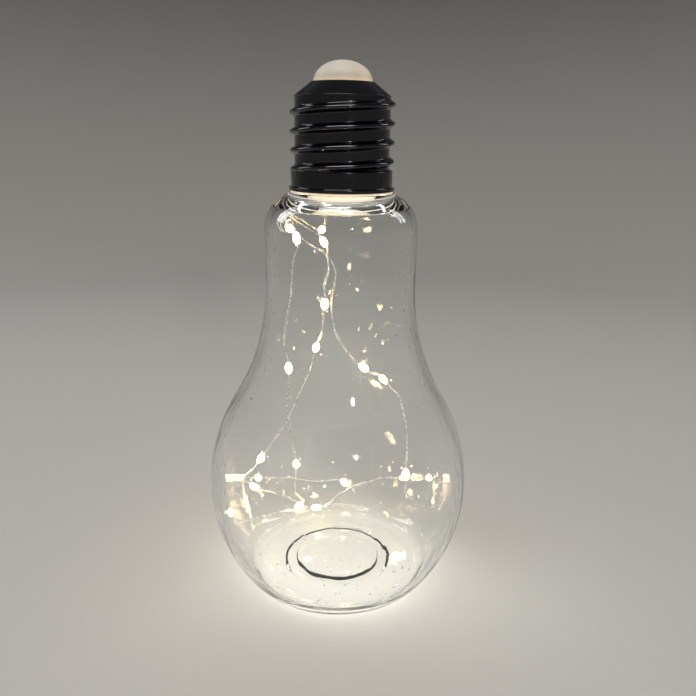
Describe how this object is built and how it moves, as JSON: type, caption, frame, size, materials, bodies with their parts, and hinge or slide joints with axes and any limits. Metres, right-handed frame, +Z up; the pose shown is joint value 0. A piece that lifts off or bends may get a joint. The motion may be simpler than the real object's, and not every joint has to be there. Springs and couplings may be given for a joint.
{
  "type": "bulb-shaped battery table lamp",
  "caption": "Clear glass bulb standing on its base, with a string of small lights inside and a threaded plug-in cap that holds the cells and a push button.",
  "frame": {"origin": "middle of the glass foot, on the surface it stands on", "axes": "+Z up through the cap and the button; the picture looks along +Y with +X to the right"},
  "size_m": [0.125, 0.125, 0.2431],
  "materials": {
    "clear_glass": "clear, fire-polished",
    "black_nickel": "black nickel plate, high gloss",
    "milky_plastic": "milky translucent, satin",
    "button_plastic": "cream translucent, fine matte",
    "seal_silicone": "milky silicone, satin",
    "grommet_rubber": "matte",
    "contact_steel": "nickel plated",
    "screw_steel": "zinc plated",
    "board_laminate": "green solder mask",
    "chip_resin": "matte",
    "capacitor_ceramic": "matte",
    "switch_plastic": "matte",
    "cell_wrap": "plain dark sleeve, satin",
    "wire_enamel": "bright enamelled wire",
    "led_resin": "clear resin, glows warm white"
  },
  "bodies": {
    "glass": {"glass_bulb": "clear_glass", "light_wire": "wire_enamel", "led_bead_01": "led_resin", "led_bead_02": "led_resin", "led_bead_03": "led_resin", "led_bead_04": "led_resin", "led_bead_05": "led_resin", "led_bead_06": "led_resin", "led_bead_07": "led_resin", "led_bead_08": "led_resin", "led_bead_09": "led_resin", "led_bead_10": "led_resin", "led_bead_11": "led_resin", "led_bead_12": "led_resin", "led_bead_13": "led_resin", "led_bead_14": "led_resin", "led_bead_15": "led_resin", "led_bead_16": "led_resin", "led_bead_17": "led_resin", "led_bead_18": "led_resin", "led_bead_19": "led_resin", "led_bead_20": "led_resin"},
    "cap": {"cap_shell": "black_nickel", "battery_case": "milky_plastic", "neck_seal": "seal_silicone", "wire_grommet": "grommet_rubber", "battery_cell_1": "cell_wrap", "battery_cell_2": "cell_wrap", "contact_spring_1": "contact_steel", "contact_spring_2": "contact_steel", "contact_plate_1": "contact_steel", "contact_plate_2": "contact_steel", "circuit_board": "board_laminate", "switch_body": "switch_plastic", "control_chip": "chip_resin", "series_resistor": "chip_resin", "smoothing_capacitor": "capacitor_ceramic", "dome_led": "led_resin", "board_screw_1": "screw_steel", "board_screw_2": "screw_steel", "board_lead": "wire_enamel"},
    "button": {"dome_button": "button_plastic", "switch_plunger": "milky_plastic"},
    "door": {"battery_door": "milky_plastic", "door_contact": "contact_steel"}
  },
  "joints": [
    {"name": "cap_lift", "type": "slide", "parent": "glass", "child": "cap", "axis": [0, 0, 1], "range_m": [0, 0.03]},
    {"name": "button_press", "type": "slide", "parent": "cap", "child": "button", "axis": [0, 0, -1], "range_m": [0, 0.0008], "stiffness_N_per_m": 2000},
    {"name": "door_twist", "type": "hinge", "parent": "cap", "child": "door", "pos_m": [0, 0, 0.1822], "axis": [0, 0, 1], "range_deg": [0, 45]}
  ]
}
